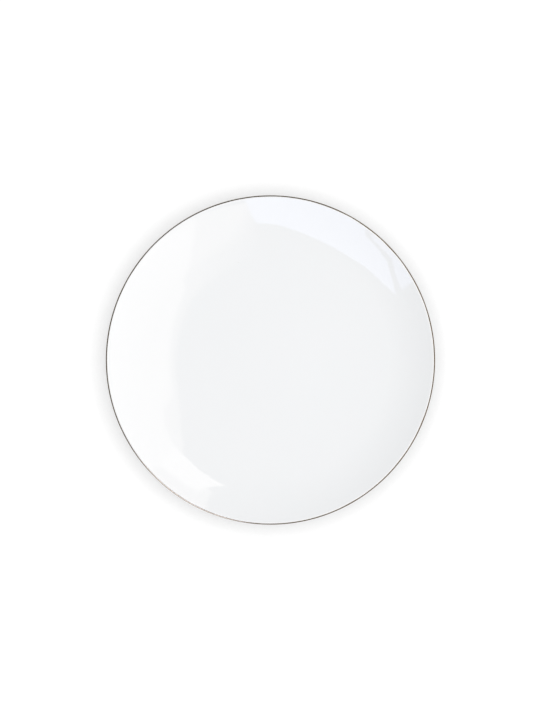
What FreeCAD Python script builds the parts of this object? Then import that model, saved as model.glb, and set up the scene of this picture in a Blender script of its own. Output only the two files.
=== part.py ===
"""A coupe china dinner plate: a bone china body with a turned foot ring, glaze that leaves the foot's
bearing land bare, and a thin gilt line fired round the lip.

Millimetres, +Z up. The origin is the middle of the foot ring's land, where the plate stands.
Everything is turned about Z, from sections drawn in the XZ plane as (radius, height)."""

import FreeCAD, Part  # noqa: E401  FreeCAD has to come first
import Sketcher
import math
import os

# Alias, value in millimetres or degrees, and what the size is.
SIZES = [
    ("plate_diameter", 270.0, "across the gilt lip"),
    ("plate_height", 24.0, "from the table to the top of the glazed lip"),
    ("wall_width", 36.8, "from the plate's edge in to the foot of the wall"),
    ("wall_start_slope", 7.0, "how steep the plate is there"),
    ("lead_in_width", 60.0, "the gently dished part of the well, from its level middle out to the wall"),
    ("floor_thickness", 3.0, "the clay under the level middle of the well"),
    ("lip_round", 1.1, "the radius of the rounded lip, in the clay"),
    ("foot_setback", 59.0, "from the plate's edge in to the middle of the foot's land"),
    ("back_level_width", 4.0, "from there out to where the back starts to rise"),
    ("foot_height", 3.0, "from the land up to the clay of the recess and of the back"),
    ("foot_land_width", 2.8, "the face that stands on the table, before its edges are rounded"),
    ("foot_outer_lean", 15.0, "the lean of the foot's outer side from upright"),
    ("foot_inner_lean", 20.0, "the lean of the foot's inner side from upright"),
    ("foot_root_round", 1.5, "the fillet where the foot grows out of the plate"),
    ("land_edge_round", 0.4, "the rounding of the land's two edges"),
    ("glaze_thickness", 0.25, "the fired coat of glaze"),
    ("bare_foot_height", 1.0, "the foot is wiped free of glaze up to here"),
    ("gilt_thickness", 0.1, "the fired gold"),
    ("gilt_face_angle", 75.0, "the gilt's edge on the face side, about the lip's centre, from level"),
    ("gilt_back_angle", 30.0, "the gilt's edge on the back side, below level"),
]

WALL_START = "Sizes.plate_diameter / 2 - Sizes.wall_width"
FOOT_RADIUS = "Sizes.plate_diameter / 2 - Sizes.foot_setback"
MID_CLAY = "Sizes.foot_height + Sizes.floor_thickness / 2"  # half way up through the floor's clay

START, END, CENTRE = 1, 2, 3  # the points of a sketch's curve that a constraint can name
V_AXIS, ORIGIN = -2, (-1, 1)


def make_sheet(doc):
    """The driving dimensions, one to a row."""
    sheet = doc.addObject("Spreadsheet::Sheet", "Sizes")
    for row, (alias, value, meaning) in enumerate(SIZES, start=1):
        sheet.set(f"A{row}", alias)
        sheet.set(f"B{row}", str(value))
        sheet.set(f"C{row}", meaning)
        sheet.setAlias(f"B{row}", alias)
    doc.recompute()
    return sheet


def at(radius, height):
    """A point of a section."""
    return FreeCAD.Vector(radius, height, 0)


def arc(centre, first, last):
    """The arc about centre from first round to last, anticlockwise."""
    start = math.atan2(first.y - centre.y, first.x - centre.x)
    stop = math.atan2(last.y - centre.y, last.x - centre.x)
    stop += 2 * math.pi if stop < start else 0
    circle = Part.Circle(centre, FreeCAD.Vector(0, 0, 1), (first - centre).Length)
    return Part.ArcOfCircle(circle, start, stop)


def section_sketch(body, name):
    """An empty sketch on the body's own XZ plane."""
    plane = next(f for f in body.Origin.OriginFeatures if f.Role == "XZ_Plane")
    sketch = body.newObject("Sketcher::SketchObject", name)
    sketch.AttachmentSupport = [(plane, "")]
    sketch.MapMode = "FlatFace"
    return sketch


def constrain(sketch, kind, *where):
    sketch.addConstraint(Sketcher.Constraint(kind, *where))


def dimension(sketch, name, kind, *where, formula):
    """Adds a named dimension at the size that is drawn, and binds it to the sheet by a formula."""
    index = sketch.addConstraint(Sketcher.Constraint(kind, *where))
    sketch.renameConstraint(index, name)
    sketch.setExpression(f"Constraints.{name}", formula)


def out(sketch, name, curve, point, formula):
    """How far a curve's point lies from the axis."""
    drawn = sketch.getPoint(curve, point).x
    dimension(sketch, name, "DistanceX", *ORIGIN, curve, point, drawn, formula=formula)


def up(sketch, name, curve, point, formula):
    """How high a curve's point lies."""
    drawn = sketch.getPoint(curve, point).y
    dimension(sketch, name, "DistanceY", *ORIGIN, curve, point, drawn, formula=formula)


def bend(sketch, name, curve, formula):
    """An arc's radius."""
    dimension(sketch, name, "Radius", curve, sketch.Geometry[curve].Radius, formula=formula)


def turn(body, sketch, name):
    """Turns the sketch about Z, added to whatever the body already has."""
    turned = body.newObject("PartDesign::Revolution", name)
    turned.Profile = sketch
    turned.ReferenceAxis = (sketch, ["V_Axis"])
    turned.Angle = 360.0
    return turned


def lip_centre(s):
    """The centre of the lip's round, which the clay, the glaze and the gilt share."""
    glazed = s.lip_round + s.glaze_thickness
    return at(s.plate_diameter / 2 - glazed - s.gilt_thickness, s.plate_height - glazed)


def fix_lip_centre(sketch, curve):
    glazed = "(Sizes.lip_round + Sizes.glaze_thickness)"
    out(sketch, "lip_out", curve, CENTRE, f"Sizes.plate_diameter / 2 - {glazed} - Sizes.gilt_thickness")
    up(sketch, "lip_up", curve, CENTRE, f"Sizes.plate_height - {glazed}")


def add_dish(body, s):
    """The plate without its foot: floor, lead-in, wall, rounded lip, curved back and level underside."""
    lip = lip_centre(s)
    plate_radius = s.plate_diameter / 2
    slope = math.radians(s.wall_start_slope)
    uphill = at(-math.sin(slope), math.cos(slope))
    floor_end = at(plate_radius - s.wall_width - s.lead_in_width, s.foot_height + s.floor_thickness)
    lead_bend = s.lead_in_width / math.sin(slope)
    lead_centre = floor_end + at(0, lead_bend)
    lead_end = lead_centre - uphill * lead_bend
    reach = lip - lead_end
    wall_bend = (reach.dot(reach) - s.lip_round**2) / (2 * (reach.dot(uphill) + s.lip_round))
    wall_centre = lead_end + uphill * wall_bend
    wall_end = lip + (wall_centre - lip).normalize() * s.lip_round
    back_start = at(plate_radius - s.foot_setback + s.back_level_width, s.foot_height)
    reach = lip - back_start
    back_bend = (reach.dot(reach) - s.lip_round**2) / (2 * (reach.y - s.lip_round))
    back_centre = back_start + at(0, back_bend)
    back_end = lip + (lip - back_centre).normalize() * s.lip_round

    sketch = section_sketch(body, "dish_section")
    under = sketch.addGeometry(Part.LineSegment(at(0, s.foot_height), back_start))
    back = sketch.addGeometry(arc(back_centre, back_start, back_end))
    edge = sketch.addGeometry(arc(lip, back_end, wall_end))
    wall = sketch.addGeometry(arc(wall_centre, lead_end, wall_end))
    lead_in = sketch.addGeometry(arc(lead_centre, floor_end, lead_end))
    floor = sketch.addGeometry(Part.LineSegment(floor_end, at(0, floor_end.y)))
    axis = sketch.addGeometry(Part.LineSegment(at(0, floor_end.y), at(0, s.foot_height)))

    constrain(sketch, "Tangent", under, END, back, START)
    constrain(sketch, "Tangent", back, END, edge, START)
    constrain(sketch, "Tangent", edge, END, wall, END)
    constrain(sketch, "Tangent", wall, START, lead_in, END)
    constrain(sketch, "Tangent", lead_in, START, floor, START)
    constrain(sketch, "Coincident", floor, END, axis, START)
    constrain(sketch, "Coincident", axis, END, under, START)
    constrain(sketch, "Horizontal", under)
    constrain(sketch, "Horizontal", floor)
    constrain(sketch, "PointOnObject", axis, START, V_AXIS)
    constrain(sketch, "PointOnObject", axis, END, V_AXIS)
    up(sketch, "under_height", under, START, "Sizes.foot_height")
    up(sketch, "floor_height", floor, END, "Sizes.foot_height + Sizes.floor_thickness")
    out(sketch, "back_level", under, END, f"{FOOT_RADIUS} + Sizes.back_level_width")
    out(sketch, "floor_level", floor, START, f"{WALL_START} - Sizes.lead_in_width")
    out(sketch, "wall_start", lead_in, END, WALL_START)
    bend(sketch, "lead_in_bend", lead_in, "Sizes.lead_in_width / sin(Sizes.wall_start_slope * 1 deg)")
    bend(sketch, "lip_round", edge, "Sizes.lip_round")
    fix_lip_centre(sketch, edge)
    return turn(body, sketch, "dish")


def add_foot_ring(body, s):
    """The foot, a tapering ring rooted half way up the clay of the floor."""
    top = s.foot_height + s.floor_thickness / 2
    middle = s.plate_diameter / 2 - s.foot_setback
    inner, outer = (middle + side * s.foot_land_width / 2 for side in (-1, 1))
    inner_top = inner - top * math.tan(math.radians(s.foot_inner_lean))
    outer_top = outer + top * math.tan(math.radians(s.foot_outer_lean))
    corners = [at(inner, 0), at(outer, 0), at(outer_top, top), at(inner_top, top)]

    sketch = section_sketch(body, "foot_section")
    sides = [sketch.addGeometry(Part.LineSegment(a, b)) for a, b in zip(corners, corners[1:] + corners[:1])]
    land, outer_side, root, inner_side = sides
    for side, following in zip(sides, sides[1:] + sides[:1]):
        constrain(sketch, "Coincident", side, END, following, START)
    constrain(sketch, "Horizontal", land)
    constrain(sketch, "Horizontal", root)
    constrain(sketch, "PointOnObject", land, START, -1)
    inner_land = f"{FOOT_RADIUS} - Sizes.foot_land_width / 2"
    outer_land = f"{FOOT_RADIUS} + Sizes.foot_land_width / 2"
    up(sketch, "root_height", root, START, MID_CLAY)
    out(sketch, "inner_land", land, START, inner_land)
    out(sketch, "outer_land", land, END, outer_land)
    out(sketch, "outer_root", root, START,
        f"{outer_land} + ({MID_CLAY}) * tan(Sizes.foot_outer_lean * 1 deg)")
    out(sketch, "inner_root", root, END,
        f"{inner_land} - ({MID_CLAY}) * tan(Sizes.foot_inner_lean * 1 deg)")
    return turn(body, sketch, "foot_ring")


def round_foot(body, before, name, alias, height, s):
    """Rounds the foot's two circular edges that lie at one height."""
    middle = s.plate_diameter / 2 - s.foot_setback
    edges = [
        f"Edge{i}" for i, edge in enumerate(before.Shape.Edges, start=1)
        if isinstance(edge.Curve, Part.Circle)
        and abs(edge.Curve.Center.z - height) < 1e-3
        and abs(edge.Curve.Axis.z) > 0.999
        and abs(edge.Curve.Radius - middle) < s.foot_land_width
    ]
    if len(edges) != 2:
        raise ValueError(f"{name}: the foot has {len(edges)} edges at {height} mm, not 2")
    fillet = body.newObject("PartDesign::Fillet", name)
    fillet.Base = (before, edges)
    fillet.setExpression("Radius", f"Sizes.{alias}")
    body.Document.recompute()
    return fillet


def make_china_body(doc, s):
    """The bisque-fired clay, dish and foot ring in one piece."""
    body = doc.addObject("PartDesign::Body", "china_body")
    add_dish(body, s)
    foot = add_foot_ring(body, s)
    doc.recompute()
    rooted = round_foot(body, foot, "foot_roots", "foot_root_round", s.foot_height, s)
    round_foot(body, rooted, "land_edges", "land_edge_round", 0.0, s)
    return body


def cylinder(doc, name, radius, bottom, top):
    """A cylinder about Z, its sizes given as formulas."""
    solid = doc.addObject("Part::Cylinder", name)
    solid.setExpression("Radius", radius)
    solid.setExpression("Placement.Base.z", bottom)
    solid.setExpression("Height", f"{top} - ({bottom})")
    return solid


def boolean(doc, kind, name, base, tool):
    made = doc.addObject(kind, name)
    made.Base, made.Tool = base, tool
    return made


def make_glazes(doc, china_body):
    """The dipped coat, parted by wiping the land bare into the outside and the recess inside the foot."""
    dipped = doc.addObject("Part::Offset", "dipped_plate")
    dipped.Source = china_body
    dipped.setExpression("Value", "Sizes.glaze_thickness")
    coat = boolean(doc, "Part::Cut", "dipped_coat", dipped, china_body)
    recess = cylinder(doc, "recess_room", FOOT_RADIUS, "Sizes.bare_foot_height", MID_CLAY)
    inside = cylinder(doc, "inside_foot", FOOT_RADIUS, "-Sizes.foot_height", MID_CLAY)
    wiped = cylinder(doc, "wiped_foot", f"{FOOT_RADIUS} + 2 * Sizes.foot_height",
                     "-Sizes.foot_height", "Sizes.bare_foot_height")
    bare = doc.addObject("Part::MultiFuse", "kept_bare")
    bare.Shapes = [inside, wiped]
    glaze_coat = boolean(doc, "Part::Cut", "glaze_coat", coat, bare)
    recess_glaze = boolean(doc, "Part::Common", "recess_glaze", coat, recess)
    return glaze_coat, recess_glaze


def make_gilt_rim_band(doc, s):
    """The gold on the glazed lip, a thin band from just outside its crest to below its outermost edge."""
    body = doc.addObject("PartDesign::Body", "gilt_rim_band")
    centre = lip_centre(s)
    glazed = s.lip_round + s.glaze_thickness
    gilded = glazed + s.gilt_thickness
    face, back = (at(math.cos(math.radians(a)), math.sin(math.radians(a)))
                  for a in (s.gilt_face_angle, -s.gilt_back_angle))

    sketch = section_sketch(body, "gilt_section")
    over = sketch.addGeometry(arc(centre, centre + back * gilded, centre + face * gilded))
    under = sketch.addGeometry(arc(centre, centre + back * glazed, centre + face * glazed))
    face_edge = sketch.addGeometry(Part.LineSegment(centre + face * glazed, centre + face * gilded))
    back_edge = sketch.addGeometry(Part.LineSegment(centre + back * glazed, centre + back * gilded))
    for edge, end in ((face_edge, END), (back_edge, START)):
        constrain(sketch, "Coincident", edge, START, under, end)
        constrain(sketch, "Coincident", edge, END, over, end)
        constrain(sketch, "PointOnObject", over, CENTRE, edge)
    constrain(sketch, "Coincident", over, CENTRE, under, CENTRE)
    bend(sketch, "glazed_lip", under, "Sizes.lip_round + Sizes.glaze_thickness")
    bend(sketch, "gilded_lip", over, "Sizes.lip_round + Sizes.glaze_thickness + Sizes.gilt_thickness")
    dimension(sketch, "face_angle", "Angle", face_edge, math.radians(s.gilt_face_angle),
              formula="Sizes.gilt_face_angle * 1 deg")
    dimension(sketch, "back_angle", "Angle", back_edge, math.radians(-s.gilt_back_angle),
              formula="-Sizes.gilt_back_angle * 1 deg")
    fix_lip_centre(sketch, over)
    turn(body, sketch, "gilt")
    return body


def check(doc, pieces):
    """Stops the build when anything failed to recompute, or a piece isn't one sound solid."""
    for thing in doc.Objects:
        if {"Invalid", "Error"} & set(thing.State):
            raise RuntimeError(f"{thing.Label} did not recompute: {thing.State}")
    for piece in pieces:
        shape = piece.Shape
        if shape.isNull() or not shape.isValid() or len(shape.Solids) != 1:
            raise RuntimeError(f"{piece.Label} is not one sound solid")


def main():
    doc = FreeCAD.newDocument("dinner_plate")
    sheet = make_sheet(doc)
    china_body = make_china_body(doc, sheet)
    pieces = [china_body, *make_glazes(doc, china_body), make_gilt_rim_band(doc, sheet)]
    doc.recompute()
    check(doc, pieces)
    os.makedirs("parts", exist_ok=True)
    for piece in pieces:
        piece.Shape.exportStep(os.path.join("parts", f"{piece.Label}.step"))


main()
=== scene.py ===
"""A coupe dinner plate in white china with a fired gilt line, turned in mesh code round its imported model.

Metres, +Z up. The plate stands on z = 0 with its axis on Z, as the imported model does, and every piece
is a section drawn in the XZ plane and spun about Z."""

import math

import bmesh
import bpy
from mathutils import Euler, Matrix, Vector
from mathutils import noise as mathutils_noise


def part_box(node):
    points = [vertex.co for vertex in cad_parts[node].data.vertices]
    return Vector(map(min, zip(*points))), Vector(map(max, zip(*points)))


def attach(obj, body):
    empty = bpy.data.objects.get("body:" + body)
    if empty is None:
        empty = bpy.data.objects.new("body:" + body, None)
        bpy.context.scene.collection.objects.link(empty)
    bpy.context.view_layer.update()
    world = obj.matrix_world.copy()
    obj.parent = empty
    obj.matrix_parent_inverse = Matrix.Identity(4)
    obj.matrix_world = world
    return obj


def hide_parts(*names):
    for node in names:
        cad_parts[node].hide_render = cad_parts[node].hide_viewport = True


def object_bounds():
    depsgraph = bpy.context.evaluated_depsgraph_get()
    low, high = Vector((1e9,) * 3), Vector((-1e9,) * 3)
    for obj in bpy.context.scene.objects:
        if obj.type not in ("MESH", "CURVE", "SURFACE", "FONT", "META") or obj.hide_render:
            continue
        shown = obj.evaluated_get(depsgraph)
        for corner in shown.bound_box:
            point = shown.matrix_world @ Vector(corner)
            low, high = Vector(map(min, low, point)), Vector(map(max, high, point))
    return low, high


bl_info = {
    "name": "China Dinner Plate",
    "version": (1, 0, 0),
    "blender": (4, 5, 0),
    "location": "View3D > Sidebar > Plate",
    "description": "Turns a glazed coupe dinner plate with a gilt lip, and sets the table and lights for it",
    "category": "Add Mesh",
}

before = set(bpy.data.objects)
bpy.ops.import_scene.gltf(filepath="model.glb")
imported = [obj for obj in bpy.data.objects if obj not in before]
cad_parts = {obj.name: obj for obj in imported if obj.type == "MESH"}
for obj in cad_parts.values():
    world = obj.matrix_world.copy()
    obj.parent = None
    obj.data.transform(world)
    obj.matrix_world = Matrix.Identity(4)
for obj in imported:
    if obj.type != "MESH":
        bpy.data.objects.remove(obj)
CAD_LOW, CAD_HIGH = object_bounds()
GILT_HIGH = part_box("gilt_rim_band")[1]
GLAZE_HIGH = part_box("glaze_coat")[1]
MM = 0.001
TURNED_STEPS = 256  # faces round the plate
CURVE_STEPS = 36  # along the wall, and along the back
LIP_STEPS = 22  # round the lip
ROUND_STEPS = 8  # round each small curve of the foot
FLAT_STEPS = 10  # from the axis out to the end of a level part
POLE_GAP = 0.00001  # vertices nearer than this are one, as on the axis
SHARP_CORNER = math.radians(50)
WAVER = 0.12  # how far the gilt's edges wander, as a share of its half width
WAVER_TURNS = 9.0  # and how often
GLAZE_IOR = 1.52
CLOUD_SIZE, SMEAR_SIZE = 60 * MM, 22 * MM  # of the glaze's pale clouds and its smears
BLOOM_SIZE, GRAIN_SIZE = 5 * MM, 0.25 * MM  # of the wear on the bare clay and its grain
WORN_HEIGHT = 0.35 * MM  # how far up the land's rounded edges the wear goes
PATCH_SIZE, SWEEP_SIZE = 4 * MM, 40 * MM  # of the gold's thin patches and of the brush's sweeps
TABLE_SIZE = 4.0  # half across
TABLE_ROUGHNESS = 0.9
TABLE_GAP = 0.1 * MM  # the table lies this far under the land, so that the two faces stay apart
CAMERA_LENS = 85.0
CAMERA_HEIGHT = 1.392  # above the lip
CAMERA_SIDE = -0.00037  # a hair to the left of the plate's middle
LAMP_LEAN, LAMP_BEARING = 50.0, -10.0  # from upright, and round from +X, in degrees
GILT_LAMP_LEAN, GILT_LAMP_BEARING = 68.0, 240.0
LAMP_SIZE, LAMP_DISTANCE = 0.9, 1.4  # of either lamp
# Each panel's lean from upright, its bearing from +X, how far it hangs from the plate's middle, its tint,
# how bright it looks beside the others, its fade or None, and its corners across and up its own face.
# A panel with no lean hangs level, and at bearing -90 its own X and Y are the plate's.
PANELS = {
    "near_panel": (48.0, 245.0, 1.40, "cool", 0.97, None, (
        (-0.56, 0.46), (-0.48, 0.0), (-0.36, -0.12), (-0.26, -0.20), (-0.20, -0.75), (1.05, -0.75),
        (0.86, -0.34), (0.40, 0.55), (0.24, 0.59), (0.06, 0.75), (-0.08, 0.77), (-0.22, 0.66),
        (-0.38, 0.60))),
    "near_panel_lip": (48.0, 245.0, 1.42, "cool", 0.88, None, (
        (-0.68, 0.22), (-0.60, 0.08), (-0.57, -0.20), (-0.34, -0.24), (-0.28, -0.75), (-1.0, -0.75),
        (-0.90, -0.25))),
    "window_corner": (0.0, -90.0, 1.48, "warm", 0.99, None, (
        (0.24, 0.66), (0.33, 0.47), (0.33, 0.37), (0.42, 0.37), (1.34, 1.28), (0.82, 1.48), (0.50, 1.02))),
    "window": (0.0, -90.0, 1.49, "warm", 0.88, None, (
        (0.105, -0.085), (0.28, -0.34), (0.49, -0.69), (0.75, -1.25), (1.30, -2.45), (3.1, -2.2), (3.1, 2.75),
        (1.34, 1.28), (0.42, 0.37), (0.33, 0.37), (0.38, 0.30), (0.30, 0.18), (0.105, 0.035))),
    "window_end": (0.0, -90.0, 1.50, "warm", 0.70, None, (
        (0.50, 1.12), (1.30, 1.10), (3.1, 2.7), (3.1, 3.3), (1.38, 3.3), (0.99, 2.22))),
    "window_side": (0.0, -90.0, 1.51, "warm", 0.66, (0.10, -0.06, 0.17), (
        (0.09, 0.03), (0.13, 0.12), (0.36, 0.38), (1.5, 0.0), (2.6, -2.8), (0.20, -2.8), (0.03, -0.30),
        (0.02, -0.12), (0.08, -0.06))),
}
Y_AXIS = (0.0, 1.0, 0.0)
Z_AXIS = (0.0, 0.0, 1.0)


def length(name, default, description):
    """A size in metres, given in millimetres."""
    return bpy.props.FloatProperty(
        name=name, description=description, default=default * MM, min=0.0, precision=5, unit="LENGTH"
    )


def angle(name, default, description):
    """An angle, given in degrees."""
    return bpy.props.FloatProperty(
        name=name, description=description, default=math.radians(default), unit="ROTATION"
    )


def colour(name, default, description):
    return bpy.props.FloatVectorProperty(
        name=name, description=description, default=default, min=0.0, max=1.0, size=3, subtype="COLOR"
    )


def number(name, default, description, top=10.0):
    return bpy.props.FloatProperty(name=name, description=description, default=default, min=0.0, max=top)


class PlateSizes(bpy.types.PropertyGroup):
    """The plate's own sizes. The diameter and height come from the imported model."""

    radius: bpy.props.FloatProperty(
        name="Radius", description="From the axis to the edge of the gilt lip",
        default=GILT_HIGH.x, min=0.0, precision=5, unit="LENGTH",
    )
    height: bpy.props.FloatProperty(
        name="Height", description="From the table to the top of the glazed lip",
        default=GLAZE_HIGH.z, min=0.0, precision=5, unit="LENGTH",
    )
    wall_width: length("Wall width", 36.8, "From the plate's edge in to the foot of the wall")
    wall_slope: angle("Wall slope", 7.0, "How steep the plate is at the foot of the wall")
    lead_in_width: length("Lead-in width", 60.0, "The gently dished part of the well, out to the wall")
    floor_thickness: length("Floor thickness", 3.0, "The clay under the level middle of the well")
    lip_round: length("Lip round", 1.1, "The radius of the clay's lip")
    foot_setback: length("Foot setback", 59.0, "From the plate's edge in to the middle of the foot's land")
    back_level: length("Level back", 4.0, "From there out to where the back starts to rise")
    foot_height: length("Foot height", 3.0, "From the land up to the clay of the recess and the back")
    land_width: length("Land width", 2.8, "The face that stands on the table")
    outer_lean: angle("Outer lean", 15.0, "The lean of the foot's outer side from upright")
    inner_lean: angle("Inner lean", 20.0, "The lean of the foot's inner side from upright")
    root_round: length("Root round", 1.5, "The fillet where the foot grows out of the plate")
    land_round: length("Land edge round", 0.4, "The rounding of the land's two edges")
    glaze: length("Glaze thickness", 0.25, "The fired coat of glaze")
    bare_height: length("Bare foot height", 1.0, "The foot is wiped free of glaze up to here")
    gilt: length("Gilt thickness", 0.1, "The fired gold, at its thickest")
    gilt_face: angle("Gilt face angle", 75.0, "The gilt's edge on the face side, about the lip's centre")
    gilt_back: angle("Gilt back angle", 30.0, "The gilt's edge on the back side, below level")


class PlateFinish(bpy.types.PropertyGroup):
    """Colours and gloss."""

    china: colour("China", (0.857, 0.866, 0.876), "Glazed white china, a little cool")
    pooled: colour("Pooled glaze", (0.78, 0.815, 0.83), "Where the glaze lies thick")
    speck: colour("Speck", (0.42, 0.38, 0.33), "A speck fired into the glaze")
    biscuit: colour("Biscuit", (0.80, 0.765, 0.70), "Bare fired clay on the foot's land")
    worn: colour("Worn biscuit", (0.58, 0.54, 0.48), "Where the land has rubbed on tables")
    gold: colour("Gold", (0.110, 0.088, 0.0625), "Fired gold")
    thin_gold: colour("Thin gold", (0.084, 0.066, 0.0475), "Gold where the brush left little")
    glaze_roughness: number("Glaze roughness", 0.03, "How blurred the glaze's reflections are", 1.0)
    biscuit_roughness: number("Biscuit roughness", 0.72, "How matt the bare land is", 1.0)
    gold_roughness: number("Gold roughness", 0.24, "How burnished the gold is", 1.0)


class StudioLight(bpy.types.PropertyGroup):
    """The table top and its light."""

    sky: number("Sky", 0.955, "The even light from all round")
    lamp: number("Lamp", 3.3, "The power of the soft lamp on the right, in watts", 100.0)
    gilt_lamp: number("Gilt lamp", 48.0, "The power of the lamp that only shows in the gilt, in watts", 100.0)
    panel: number("Panels", 3.1, "How bright the panels look in the glaze, where the sky looks 1")
    cool: colour("Cool panels", (0.74, 0.79, 1.0), "The tint of the panels on the shaded side")
    warm: colour("Warm panels", (1.0, 0.94, 0.89), "The tint of the panels on the lamp's side")
    table: colour("Table", (0.80, 0.80, 0.80), "The table top, as the plate's back sees it")
    sheet: colour("Paper", (0.30, 0.30, 0.30), "The white paper's own colour, as seen")
    # Painted shadow: glow is the seen table's own emission. Within reach of the plate, an ambient occlusion
    # node takes the shade share of it away, so a contact shadow is painted into the table. The paper's colour
    # still takes the real shadows of the lamps and the sky.
    glow: number("Glow", 0.783, "The light that comes through the white paper from below", 1.0)
    reach: length("Shade reach", 30.0, "How near the plate the paper starts to shade")
    shade: number("Shade", 0.744, "The share of the glow that a thing close over the paper takes", 1.0)


def sizes():
    return bpy.context.scene.plate_sizes


def finish():
    return bpy.context.scene.plate_finish


# ---------------------------------------------------------------- the turned sections


def at(radius, height):
    """A point of a section."""
    return Vector((radius, 0.0, height))


class FootSide:
    """One side of the foot ring grown outwards by a coat; side is 1 for the outside and -1 for the inside."""

    def __init__(self, s, coat, side):
        lean = s.outer_lean if side > 0 else s.inner_lean
        self.side = side
        self.turn = side * (math.pi / 2 - lean)  # how far the land's edge and the root each curve
        self.out = at(side * math.cos(lean), -math.sin(lean))
        self.up = at(side * math.sin(lean), math.cos(lean))
        land_end = at(s.radius - s.foot_setback + side * s.land_width / 2, 0.0)
        inset = s.land_round * math.tan(abs(self.turn) / 2)  # where the rounding leaves the land
        self.edge_centre = land_end + at(-side * inset, s.land_round)
        self.edge_r = s.land_round + coat
        self.low = self.edge_centre + self.out * self.edge_r
        self.root_r = s.root_round - coat
        root_z = s.foot_height - s.root_round
        climb = (root_z - self.low.z - self.out.z * self.root_r) / self.up.z
        self.high = self.low + self.up * climb
        self.root_centre = self.high + self.out * self.root_r
        self.root_top = self.root_centre + at(0, self.root_r)

    def level_with(self, height):
        """The point of the foot's side at a height."""
        return self.low + self.up * ((height - self.low.z) / self.up.z)


class Shape:
    """The plate's outline grown outwards by a coat, as the centres, radii and corners of its curves."""

    def __init__(self, s, coat):
        glazed = s.lip_round + s.glaze
        self.lip_centre = at(s.radius - glazed - s.gilt, s.height - glazed)
        self.lip_r = s.lip_round + coat
        self.under_axis = at(0, s.foot_height - coat)
        self.floor_axis = at(0, s.foot_height + s.floor_thickness + coat)
        self.floor_end = self.floor_axis + at(s.radius - s.wall_width - s.lead_in_width, 0)
        self.back_start = self.under_axis + at(s.radius - s.foot_setback + s.back_level, 0)
        self.wall_slope = s.wall_slope
        lead_r = s.lead_in_width / math.sin(s.wall_slope) - coat
        self.lead_centre = self.floor_end + at(0, lead_r)
        uphill = at(-math.sin(s.wall_slope), math.cos(s.wall_slope))
        lead_end = self.lead_centre - uphill * lead_r
        reach = self.lip_centre - lead_end
        wall_r = (reach.dot(reach) - self.lip_r**2) / (2 * (reach.dot(uphill) + self.lip_r))
        self.wall_centre = lead_end + uphill * wall_r
        self.lip_slope = self.slope_from(self.wall_centre)
        reach = self.lip_centre - self.back_start
        back_r = (reach.dot(reach) - self.lip_r**2) / (2 * (reach.z - self.lip_r))
        self.back_centre = self.back_start + at(0, back_r)
        self.back_slope = self.slope_from(self.back_centre)
        self.inner = FootSide(s, coat, -1)
        self.outer = FootSide(s, coat, 1)

    def slope_from(self, centre):
        """How steep a curve about centre is where it meets the lip."""
        away = self.lip_centre - centre
        return math.atan2(away.x, -away.z)


class Pen:
    """Draws a section in a bmesh, one vertex after another."""

    def __init__(self, start):
        self.bm = bmesh.new()
        self.tip = self.bm.verts.new(start)

    def line(self, end, steps=1):
        """A straight run of equal steps."""
        step = (end - self.tip.co) / steps
        for _ in range(steps):
            corner = self.tip.co.copy()
            self.tip = bmesh.ops.extrude_vert_indiv(self.bm, verts=[self.tip])["verts"][0]
            self.tip.co = corner + step

    def arc(self, centre, turn, steps):
        """A curve about centre. A positive turn goes anticlockwise, seen with X right and Z up."""
        made = bmesh.ops.spin(
            self.bm, geom=[self.tip], cent=centre, axis=Y_AXIS, angle=-turn, steps=steps
        )
        self.tip = made["geom_last"][0]


def draw_recess(pen, shape):
    """From the axis, under the floor, and down the inner root to the foot's inner side."""
    pen.line(shape.inner.root_top, FLAT_STEPS)
    pen.arc(shape.inner.root_centre, shape.inner.turn, ROUND_STEPS)


def draw_foot_land(pen, shape):
    """Down the foot's inner side, across its land and up its outer side."""
    inner, outer = shape.inner, shape.outer
    pen.line(inner.low, 2)
    pen.arc(inner.edge_centre, -inner.turn, ROUND_STEPS)
    pen.line(outer.edge_centre - at(0, outer.edge_r), 2)
    pen.arc(outer.edge_centre, outer.turn, ROUND_STEPS)
    pen.line(outer.high, 2)


def draw_dish(pen, shape):
    """From the top of the foot's outer side round the back, the lip and the face to the axis."""
    pen.arc(shape.outer.root_centre, -shape.outer.turn, ROUND_STEPS)
    pen.line(shape.back_start)
    pen.arc(shape.back_centre, shape.back_slope, CURVE_STEPS)
    pen.arc(shape.lip_centre, math.pi + shape.lip_slope - shape.back_slope, LIP_STEPS)
    pen.arc(shape.wall_centre, shape.wall_slope - shape.lip_slope, CURVE_STEPS)
    pen.arc(shape.lead_centre, -shape.wall_slope, CURVE_STEPS // 2)
    pen.line(shape.floor_axis, FLAT_STEPS)


def undraw_dish(pen, shape):
    """The same way back, from the axis over the face, the lip and the back to the foot's outer side."""
    pen.line(shape.floor_end, FLAT_STEPS)
    pen.arc(shape.lead_centre, shape.wall_slope, CURVE_STEPS // 2)
    pen.arc(shape.wall_centre, shape.lip_slope - shape.wall_slope, CURVE_STEPS)
    pen.arc(shape.lip_centre, shape.back_slope - shape.lip_slope - math.pi, LIP_STEPS)
    pen.arc(shape.back_centre, -shape.back_slope, CURVE_STEPS)
    pen.line(shape.outer.root_top)
    pen.arc(shape.outer.root_centre, shape.outer.turn, ROUND_STEPS)


def spun(pen):
    """The pen's section spun about Z, with its poles and its last seam closed."""
    bm = pen.bm
    bmesh.ops.spin(
        bm, geom=bm.verts[:] + bm.edges[:], cent=(0, 0, 0), axis=Z_AXIS, angle=math.tau,
        steps=TURNED_STEPS, use_merge=True,
    )
    bmesh.ops.remove_doubles(bm, verts=bm.verts, dist=POLE_GAP)
    bmesh.ops.recalc_face_normals(bm, faces=bm.faces)
    return bm


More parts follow.
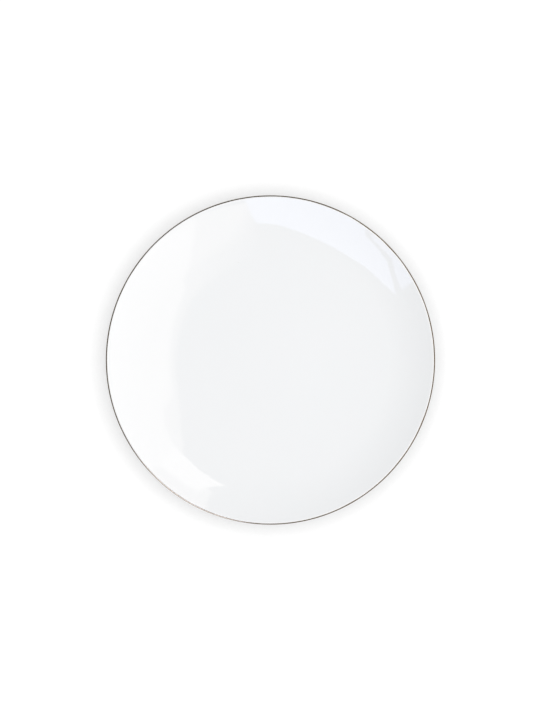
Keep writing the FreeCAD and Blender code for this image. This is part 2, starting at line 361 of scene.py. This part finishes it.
def finished(bm, name, node, material):
    """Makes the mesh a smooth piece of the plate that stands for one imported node."""
    for face in bm.faces:
        face.smooth = True
    mesh = bpy.data.meshes.new(name)
    bm.to_mesh(mesh)
    bm.free()
    mesh.set_sharp_from_angle(angle=SHARP_CORNER)
    mesh.materials.append(material)
    piece = bpy.data.objects.new(name, mesh)
    bpy.context.scene.collection.objects.link(piece)
    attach(piece, "root")
    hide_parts(node)
    return piece


# ---------------------------------------------------------------- node helpers


def node(tree, kind, inputs=None, **settings):
    """Adds a node: settings are its properties, inputs are values or sockets by the input's name or index."""
    made = tree.nodes.new(kind)
    for name, value in settings.items():
        setattr(made, name, value)
    for name, value in (inputs or {}).items():
        socket = made.inputs[name]
        if isinstance(value, bpy.types.NodeSocket):
            tree.links.new(value, socket)
        else:
            socket.default_value = value
    return made


def math_node(tree, operation, *values):
    return node(tree, "ShaderNodeMath", dict(enumerate(values)), operation=operation).outputs[0]


def ramp(tree, value, low, high, bottom=0.0, top=1.0):
    """A smooth step from bottom at low to top at high."""
    made = node(
        tree, "ShaderNodeMapRange",
        {"Value": value, "From Min": low, "From Max": high, "To Min": bottom, "To Max": top},
        interpolation_type="SMOOTHSTEP",
    )
    return made.outputs["Result"]


def noise(tree, vector, scale, detail=2.0, roughness=0.5):
    made = node(
        tree, "ShaderNodeTexNoise",
        {"Vector": vector, "Scale": scale, "Detail": detail, "Roughness": roughness},
    )
    return made.outputs["Fac"]


def blend(tree, mask, first, second):
    """The first colour where the mask is 0 and the second where it is 1."""
    made = node(tree, "ShaderNodeMix", data_type="RGBA")
    for socket, value in zip((made.inputs["Factor"], made.inputs[6], made.inputs[7]), (mask, first, second)):
        if isinstance(value, bpy.types.NodeSocket):
            tree.links.new(value, socket)
        else:
            socket.default_value = (*value, 1.0)
    return made.outputs[2]


def new_group(name, inputs, outputs):
    """A shader node group with its inputs and outputs, and the two nodes that stand for them."""
    tree = bpy.data.node_groups.new(name, "ShaderNodeTree")
    for label, kind, default in inputs:
        socket = tree.interface.new_socket(label, in_out="INPUT", socket_type=kind)
        if default is not None:
            socket.default_value = default
    for label, kind in outputs:
        tree.interface.new_socket(label, in_out="OUTPUT", socket_type=kind)
    return tree, tree.nodes.new("NodeGroupInput"), tree.nodes.new("NodeGroupOutput")


def radius_of(tree, vector):
    """How far each point lies from the plate's axis."""
    flat = node(tree, "ShaderNodeVectorMath", {0: vector, 1: (1.0, 1.0, 0.0)}, operation="MULTIPLY")
    return node(tree, "ShaderNodeVectorMath", {0: flat.outputs[0]}, operation="LENGTH").outputs["Value"]


def fired_surface_group():
    """The height of a fired surface: fine peel over a slow sag, both in metres."""
    tree, given, result = new_group(
        "Fired surface",
        [("Vector", "NodeSocketVector", None), ("Peel size", "NodeSocketFloat", 2.5 * MM),
         ("Peel height", "NodeSocketFloat", 0.002 * MM), ("Sag size", "NodeSocketFloat", 45 * MM),
         ("Sag height", "NodeSocketFloat", 0.03 * MM)],
        [("Height", "NodeSocketFloat")],
    )
    layers = []
    for layer in ("Peel", "Sag"):
        scale = math_node(tree, "DIVIDE", 1.0, given.outputs[f"{layer} size"])
        relief = noise(tree, given.outputs["Vector"], scale, detail=1.5)
        layers.append(math_node(tree, "MULTIPLY", relief, given.outputs[f"{layer} height"]))
    tree.links.new(math_node(tree, "ADD", *layers), result.inputs["Height"])
    return tree


def specks_group():
    """A mask of small round specks, one in a share of the cells they are strewn over."""
    tree, given, result = new_group(
        "Kiln specks",
        [("Vector", "NodeSocketVector", None), ("Spacing", "NodeSocketFloat", 9 * MM),
         ("Size", "NodeSocketFloat", 0.16 * MM), ("Share", "NodeSocketFloat", 0.05)],
        [("Mask", "NodeSocketFloat")],
    )
    scale = math_node(tree, "DIVIDE", 1.0, given.outputs["Spacing"])
    cells = node(tree, "ShaderNodeTexVoronoi", {"Vector": given.outputs["Vector"], "Scale": scale})
    reach = math_node(tree, "MULTIPLY", given.outputs["Size"], scale)
    draw = node(tree, "ShaderNodeSeparateColor", {0: cells.outputs["Color"]})
    spot_size = math_node(tree, "MULTIPLY", reach, math_node(tree, "ADD", draw.outputs[1], 0.4))
    spot = math_node(tree, "LESS_THAN", cells.outputs["Distance"], spot_size)
    chosen = math_node(tree, "LESS_THAN", draw.outputs[0], given.outputs["Share"])
    tree.links.new(math_node(tree, "MULTIPLY", spot, chosen), result.inputs["Mask"])
    return tree


def turning_group():
    """The height of the faint rings that turning leaves about the axis."""
    tree, given, result = new_group(
        "Turning rings",
        [("Vector", "NodeSocketVector", None), ("Spacing", "NodeSocketFloat", 1.2 * MM),
         ("Depth", "NodeSocketFloat", 0.001 * MM)],
        [("Height", "NodeSocketFloat")],
    )
    pitch = math_node(tree, "DIVIDE", radius_of(tree, given.outputs["Vector"]), given.outputs["Spacing"])
    along = node(tree, "ShaderNodeCombineXYZ", {0: pitch})
    relief = noise(tree, along.outputs[0], 1.0, detail=3.0)
    tree.links.new(math_node(tree, "MULTIPLY", relief, given.outputs["Depth"]), result.inputs["Height"])
    return tree


def placed(tree, group, **inputs):
    """A node group in a material, its inputs given by name with _ for a space."""
    made = node(tree, "ShaderNodeGroup", node_tree=group)
    for name, value in inputs.items():
        socket = made.inputs[name.replace("_", " ")]
        if isinstance(value, bpy.types.NodeSocket):
            tree.links.new(value, socket)
        else:
            socket.default_value = value
    return made.outputs[0]


def groups():
    """The shared effects, built once."""
    makers = {"Fired surface": fired_surface_group, "Kiln specks": specks_group,
              "Turning rings": turning_group}
    return [bpy.data.node_groups.get(name) or make() for name, make in makers.items()]


def new_material(name):
    """A material with nothing but its output and a Principled shader, and its Object coordinates."""
    material = bpy.data.materials.new(name)
    material.use_nodes = True
    tree = material.node_tree
    tree.nodes.clear()
    shader = node(tree, "ShaderNodeBsdfPrincipled")
    output = node(tree, "ShaderNodeOutputMaterial")
    tree.links.new(shader.outputs[0], output.inputs["Surface"])
    return material, tree, shader, node(tree, "ShaderNodeTexCoord").outputs["Object"]


def dress(tree, shader, base, roughness, height):
    """Gives a shader its colour, roughness and relief, the relief being in metres."""
    bump = node(tree, "ShaderNodeBump", {"Height": height, "Distance": 1.0, "Strength": 1.0})
    tree.links.new(base, shader.inputs["Base Color"])
    tree.links.new(roughness, shader.inputs["Roughness"])
    tree.links.new(bump.outputs[0], shader.inputs["Normal"])


def glaze_material():
    """White china under a clear glaze, pooled in the foot's roots, with a very few specks."""
    made = bpy.data.materials.get("glazed_china")
    if made:
        return made
    f, s = finish(), sizes()
    made, tree, shader, vector = new_material("glazed_china")
    surface, specks, rings = groups()
    height = node(tree, "ShaderNodeSeparateXYZ", {0: vector}).outputs["Z"]
    foot_radius = s.radius - s.foot_setback
    from_foot = math_node(
        tree, "ABSOLUTE", math_node(tree, "SUBTRACT", radius_of(tree, vector), foot_radius)
    )
    near_foot = ramp(tree, from_foot, s.land_width, s.land_width + s.root_round + s.foot_height, 1.0, 0.0)
    below = ramp(tree, height, s.foot_height, s.foot_height + s.glaze * 4, 1.0, 0.0)
    pooled = math_node(tree, "MULTIPLY", near_foot, below)
    cloud = ramp(tree, noise(tree, vector, 1 / CLOUD_SIZE, detail=3.0), 0.35, 0.7, 0.0, 0.05)
    pooling = math_node(tree, "MAXIMUM", pooled, cloud)
    china = blend(tree, pooling, f.china, f.pooled)
    speck = placed(tree, specks, Vector=vector)
    base = blend(tree, speck, china, f.speck)
    smear = noise(tree, vector, 1 / SMEAR_SIZE, detail=4.0, roughness=0.6)
    roughness = ramp(tree, smear, 0.3, 0.75, f.glaze_roughness * 0.8, f.glaze_roughness * 1.6)
    relief = math_node(
        tree, "ADD", placed(tree, surface, Vector=vector), placed(tree, rings, Vector=vector)
    )
    dress(tree, shader, base, roughness, relief)
    shader.inputs["IOR"].default_value = GLAZE_IOR
    return made


def biscuit_material():
    """Bare fired clay, with a grain and a worn grey bloom where the plate has stood."""
    f = finish()
    made, tree, shader, vector = new_material("bare_biscuit")
    surface, specks, rings = groups()
    bloom = ramp(tree, noise(tree, vector, 1 / BLOOM_SIZE, detail=4.0, roughness=0.65), 0.42, 0.7)
    height = node(tree, "ShaderNodeSeparateXYZ", {0: vector}).outputs["Z"]
    rubbed = ramp(tree, height, 0.0, WORN_HEIGHT, 0.75, 0.1)
    clay = blend(tree, math_node(tree, "MULTIPLY", bloom, rubbed), f.biscuit, f.worn)
    speck = placed(tree, specks, Vector=vector, Spacing=1.6 * MM, Size=0.09 * MM, Share=0.2)
    base = blend(tree, speck, clay, f.speck)
    grain = noise(tree, vector, 1 / GRAIN_SIZE, detail=3.0)
    roughness = ramp(tree, grain, 0.2, 0.8, f.biscuit_roughness - 0.12, f.biscuit_roughness + 0.1)
    relief = math_node(
        tree, "ADD",
        placed(tree, surface, Vector=vector, Peel_size=0.2 * MM, Peel_height=0.012 * MM,
               Sag_height=0.0),
        placed(tree, rings, Vector=vector, Spacing=0.35 * MM, Depth=0.012 * MM),
    )
    dress(tree, shader, base, roughness, relief)
    return made


def gold_material():
    """Fired gold, streaked by the banding brush and thin along its two edges."""
    f, s = finish(), sizes()
    made, tree, shader, vector = new_material("fired_gold")
    surface, _, _ = groups()
    lip = Shape(s, s.glaze).lip_centre
    height = node(tree, "ShaderNodeSeparateXYZ", {0: vector}).outputs["Z"]
    up = math_node(tree, "SUBTRACT", height, lip.z)
    out = math_node(tree, "SUBTRACT", radius_of(tree, vector), lip.x)
    bearing = math_node(tree, "ARCTAN2", up, out)
    middle, half = (s.gilt_face - s.gilt_back) / 2, (s.gilt_face + s.gilt_back) / 2
    off_middle = math_node(tree, "ABSOLUTE", math_node(tree, "SUBTRACT", bearing, middle))
    patch = noise(tree, vector, 1 / PATCH_SIZE, detail=4.0, roughness=0.65)
    edge = math_node(tree, "ADD", off_middle, math_node(tree, "MULTIPLY", patch, half * 0.35))
    thin = ramp(tree, edge, half * 0.92, half * 1.15)
    streaks = node(tree, "ShaderNodeCombineXYZ", {0: bearing, 1: noise(tree, vector, 1 / SWEEP_SIZE)})
    brushed = noise(tree, streaks.outputs[0], 9.0, detail=3.0)
    mask = math_node(tree, "MAXIMUM", thin, ramp(tree, brushed, 0.52, 0.8, 0.0, 0.55))
    base = blend(tree, mask, f.gold, f.thin_gold)
    roughness = ramp(tree, brushed, 0.25, 0.8, f.gold_roughness * 0.7, f.gold_roughness * 1.5)
    relief = math_node(
        tree, "ADD", math_node(tree, "MULTIPLY", brushed, 0.004 * MM),
        placed(tree, surface, Vector=vector, Peel_size=0.8 * MM),
    )
    dress(tree, shader, base, roughness, relief)
    shader.inputs["Metallic"].default_value = 1.0
    return made


# ---------------------------------------------------------------- the pieces


class PLATE_OT_china_body(bpy.types.Operator):
    """Turns the fired clay, of which only the foot's land is bare"""

    bl_idname = "plate.china_body"
    bl_label = "China body"

    def execute(self, context):
        shape = Shape(sizes(), 0.0)
        pen = Pen(shape.under_axis)
        draw_recess(pen, shape)
        draw_foot_land(pen, shape)
        draw_dish(pen, shape)
        finished(spun(pen), "plate_body", "china_body", biscuit_material())
        return {"FINISHED"}


class PLATE_OT_glaze_coat(bpy.types.Operator):
    """Coats the face, the lip, the back and the foot's outer side, ending in a bead above the land"""

    bl_idname = "plate.glaze_coat"
    bl_label = "Glaze coat"

    def execute(self, context):
        s = sizes()
        clay, coat = Shape(s, 0.0), Shape(s, s.glaze)
        pen = Pen(clay.floor_axis)
        undraw_dish(pen, clay)
        pen.line(clay.outer.level_with(s.bare_height))
        pen.arc(pen.tip.co + clay.outer.out * s.glaze / 2, math.pi, ROUND_STEPS)
        pen.line(coat.outer.high)
        draw_dish(pen, coat)
        finished(spun(pen), "plate_glaze", "glaze_coat", glaze_material())
        return {"FINISHED"}


class PLATE_OT_recess_glaze(bpy.types.Operator):
    """Coats the recess inside the foot ring"""

    bl_idname = "plate.recess_glaze"
    bl_label = "Recess glaze"

    def execute(self, context):
        s = sizes()
        clay, coat = Shape(s, 0.0), Shape(s, s.glaze)
        pen = Pen(coat.under_axis)
        draw_recess(pen, coat)
        bare = clay.inner.level_with(s.bare_height)
        pen.line(bare + clay.inner.out * s.glaze)
        pen.arc(bare + clay.inner.out * s.glaze / 2, math.pi, ROUND_STEPS)
        pen.line(clay.inner.high)
        pen.arc(clay.inner.root_centre, -clay.inner.turn, ROUND_STEPS)
        pen.line(clay.under_axis, FLAT_STEPS)
        finished(spun(pen), "plate_recess_glaze", "recess_glaze", glaze_material())
        return {"FINISHED"}


class PLATE_OT_gilt_line(bpy.types.Operator):
    """Bands the lip with gold, full in the middle and thin at both edges"""

    bl_idname = "plate.gilt_line"
    bl_label = "Gilt line"

    def execute(self, context):
        s = sizes()
        lip = Shape(s, s.glaze)
        middle, half = (s.gilt_face - s.gilt_back) / 2, (s.gilt_face + s.gilt_back) / 2
        start = lip.lip_centre + bearing_point(middle - half) * lip.lip_r
        chord = lip.lip_r * math.sin(half)
        rise = lip.lip_r + s.gilt - lip.lip_r * math.cos(half)
        bulge = (chord**2 + rise**2) / (2 * rise)
        centre = lip.lip_centre + bearing_point(middle) * (lip.lip_r + s.gilt - bulge)
        pen = Pen(start)
        pen.arc(centre, 2 * math.atan2(chord, bulge - rise), LIP_STEPS)
        pen.arc(lip.lip_centre, -2 * half, LIP_STEPS)
        band = spun(pen)
        waver(band, lip.lip_centre, middle)
        finished(band, "gilt_line", "gilt_rim_band", gold_material())
        return {"FINISHED"}


def bearing_point(bearing):
    """A step of 1 in a section, at an angle from level."""
    return at(math.cos(bearing), math.sin(bearing))


def waver(bm, centre, middle):
    """Lets a banded line's two edges wander a little, as a hand-held brush leaves them."""
    for vert in bm.verts:
        around = vert.co.xy.normalized()
        spot = at(vert.co.xy.length, vert.co.z) - centre
        bearing = math.atan2(spot.z, spot.x)
        seed = math.copysign(3.0, bearing - middle)
        drift = mathutils_noise.noise((around.x * WAVER_TURNS, around.y * WAVER_TURNS, seed))
        spot = centre + bearing_point(bearing + (bearing - middle) * WAVER * drift) * spot.length
        vert.co = (around.x * spot.x, around.y * spot.x, spot.z)


# ---------------------------------------------------------------- the table and its light


def place_on_sky(thing, lean, bearing, distance):
    """Puts a panel or a lamp out over the plate, square to it, with its own Y uphill."""
    turn = Euler((math.radians(lean), 0.0, math.radians(bearing + 90)))
    thing.rotation_euler = turn
    thing.location = turn.to_matrix() @ Vector((0, 0, distance))


class PLATE_OT_studio(bpy.types.Operator):
    """Sets the pale table, the even light, the lamps, the panels and the camera straight above"""

    bl_idname = "plate.studio"
    bl_label = "Studio"

    def execute(self, context):
        light = context.scene.plate_light
        self.lay_table(light)
        self.light_sky(light)
        lamp = self.hang_lamp("side_lamp", light.lamp, LAMP_LEAN, LAMP_BEARING)
        lamp.visible_glossy = False
        self.light_gilt(light)
        for name, (lean, bearing, distance, tint, share, fade, corners) in PANELS.items():
            panel = self.make_panel(name, corners, getattr(light, tint), light.panel * share, fade)
            place_on_sky(panel, lean, bearing, distance)
        self.hang_camera(context.scene)
        context.scene.view_settings.view_transform = "Standard"
        return {"FINISHED"}

    def lay_table(self, light):
        bm = bmesh.new()
        bmesh.ops.create_grid(bm, x_segments=1, y_segments=1, size=TABLE_SIZE)
        material, tree, felt, _ = new_material("pale_table")
        felt.inputs["Base Color"].default_value = (*light.table, 1.0)
        felt.inputs["Roughness"].default_value = TABLE_ROUGHNESS
        # Painted shadow: an ambient occlusion node darkens the seen table's emission near the plate, which
        # paints a contact halo into its colour. The paper's diffuse part keeps the real shadows of the lamps
        # and the sky.
        ao_for_painted_shadow = node(tree, "ShaderNodeAmbientOcclusion", {"Distance": light.reach}).outputs["AO"]
        shaded, always = light.glow * light.shade, light.glow * (1 - light.shade)
        lit = math_node(tree, "MULTIPLY_ADD", ao_for_painted_shadow, shaded, always)
        seen = node(tree, "ShaderNodeBsdfPrincipled", {
            "Base Color": (*light.sheet, 1.0), "Roughness": TABLE_ROUGHNESS, "Specular IOR Level": 0.0,
            "Emission Color": (1, 1, 1, 1), "Emission Strength": lit,
        })
        mix = node(tree, "ShaderNodeMixShader", {0: seen_ray(tree), 1: felt.outputs[0], 2: seen.outputs[0]})
        tree.links.new(mix.outputs[0], tree.nodes["Material Output"].inputs["Surface"])
        staged("table", bm, material).location.z = -TABLE_GAP

    def light_sky(self, light):
        world = bpy.data.worlds.new("studio")
        bpy.context.scene.world = world
        world.use_nodes = True
        tree = world.node_tree
        tree.nodes.clear()
        seen = node(tree, "ShaderNodeBackground", {"Color": (1, 1, 1, 1), "Strength": 1.0})
        felt = node(tree, "ShaderNodeBackground", {"Color": (1, 1, 1, 1), "Strength": light.sky})
        mix = node(tree, "ShaderNodeMixShader", {0: seen_ray(tree), 1: felt.outputs[0], 2: seen.outputs[0]})
        node(tree, "ShaderNodeOutputWorld", {"Surface": mix.outputs[0]})

    def hang_lamp(self, name, power, lean, bearing):
        data = bpy.data.lights.new(name, "AREA")
        data.energy = power
        data.size = LAMP_SIZE
        lamp = bpy.data.objects.new(name, data)
        place_on_sky(lamp, lean, bearing, LAMP_DISTANCE)
        bpy.context.scene.collection.objects.link(lamp)
        return lamp

    def light_gilt(self, light):
        """The highlight on the gilt's shaded side, which the white glaze doesn't show."""
        lamp = self.hang_lamp("gilt_lamp", light.gilt_lamp, GILT_LAMP_LEAN, GILT_LAMP_BEARING)
        lamp.data.color = light.cool
        lit = bpy.data.collections.new("gilt_lamp_lights")
        lit.objects.link(bpy.data.objects["gilt_line"])
        lamp.light_linking.receiver_collection = lit

    def make_panel(self, name, corners, tint, strength, fade):
        """A panel that only shows in the glaze and the gold. A fade runs up its own X, less a share of Y."""
        bm = bmesh.new()
        for across, up in corners:
            bm.verts.new((across, up, 0.0))
        bmesh.ops.contextual_create(bm, geom=bm.verts)
        material = bpy.data.materials.new(name)
        material.use_nodes = True
        tree = material.node_tree
        tree.nodes.clear()
        shader = node(tree, "ShaderNodeEmission", {"Color": (*tint, 1.0), "Strength": strength}).outputs[0]
        if fade:
            slant, gone, full = fade
            place = node(tree, "ShaderNodeTexCoord").outputs["Object"]
            place = node(tree, "ShaderNodeSeparateXYZ", {0: place})
            off_middle = math_node(tree, "ABSOLUTE", place.outputs["Y"])
            reach = math_node(tree, "MULTIPLY_ADD", off_middle, -slant, place.outputs["X"])
            clear = node(tree, "ShaderNodeBsdfTransparent")
            shader = node(tree, "ShaderNodeMixShader",
                          {0: ramp(tree, reach, gone, full), 1: clear.outputs[0], 2: shader}).outputs[0]
        node(tree, "ShaderNodeOutputMaterial", {"Surface": shader})
        panel = staged(name, bm, material)
        panel.visible_camera = False
        panel.visible_diffuse = False
        panel.visible_shadow = False
        return panel

    def hang_camera(self, scene):
        data = bpy.data.cameras.new("camera")
        data.lens = CAMERA_LENS
        camera = bpy.data.objects.new("camera", data)
        camera.location = (CAMERA_SIDE, 0, CAD_HIGH.z + CAMERA_HEIGHT)
        scene.collection.objects.link(camera)
        scene.camera = camera


def seen_ray(tree):
    """1 for a ray from the camera, or one that a mirror or glass sends on, and 0 for scattered light."""
    path = node(tree, "ShaderNodeLightPath")
    sharp = math_node(tree, "MAXIMUM", path.outputs["Is Glossy Ray"], path.outputs["Is Transmission Ray"])
    return math_node(tree, "MAXIMUM", path.outputs["Is Camera Ray"], sharp)


def staged(name, bm, material):
    """Makes the mesh a part of the studio, which isn't part of the plate."""
    mesh = bpy.data.meshes.new(name)
    bm.to_mesh(mesh)
    bm.free()
    mesh.materials.append(material)
    thing = bpy.data.objects.new(name, mesh)
    bpy.context.scene.collection.objects.link(thing)
    return thing


# ---------------------------------------------------------------- the add-on


class PLATE_PT_panel(bpy.types.Panel):
    """The plate's sizes, finish and pieces, in the sidebar"""

    bl_idname = "PLATE_PT_panel"
    bl_label = "China Plate"
    bl_space_type = "VIEW_3D"
    bl_region_type = "UI"
    bl_category = "Plate"

    def draw(self, context):
        for group in (context.scene.plate_sizes, context.scene.plate_finish, context.scene.plate_light):
            box = self.layout.box()
            for name in group.__annotations__:
                box.prop(group, name)
        for operator in OPERATORS:
            self.layout.operator(operator.bl_idname)


OPERATORS = (PLATE_OT_china_body, PLATE_OT_glaze_coat, PLATE_OT_recess_glaze, PLATE_OT_gilt_line,
             PLATE_OT_studio)
SETTINGS = {"plate_sizes": PlateSizes, "plate_finish": PlateFinish, "plate_light": StudioLight}
CLASSES = (*SETTINGS.values(), *OPERATORS, PLATE_PT_panel)


def register():
    for cls in CLASSES:
        bpy.utils.register_class(cls)
    for name, settings in SETTINGS.items():
        setattr(bpy.types.Scene, name, bpy.props.PointerProperty(type=settings))


def unregister():
    for name in SETTINGS:
        delattr(bpy.types.Scene, name)
    for cls in reversed(CLASSES):
        bpy.utils.unregister_class(cls)


def main():
    register()
    bpy.ops.plate.china_body()
    bpy.ops.plate.glaze_coat()
    bpy.ops.plate.recess_glaze()
    bpy.ops.plate.gilt_line()
    bpy.ops.plate.studio()


if __name__ == "__main__":
    main()
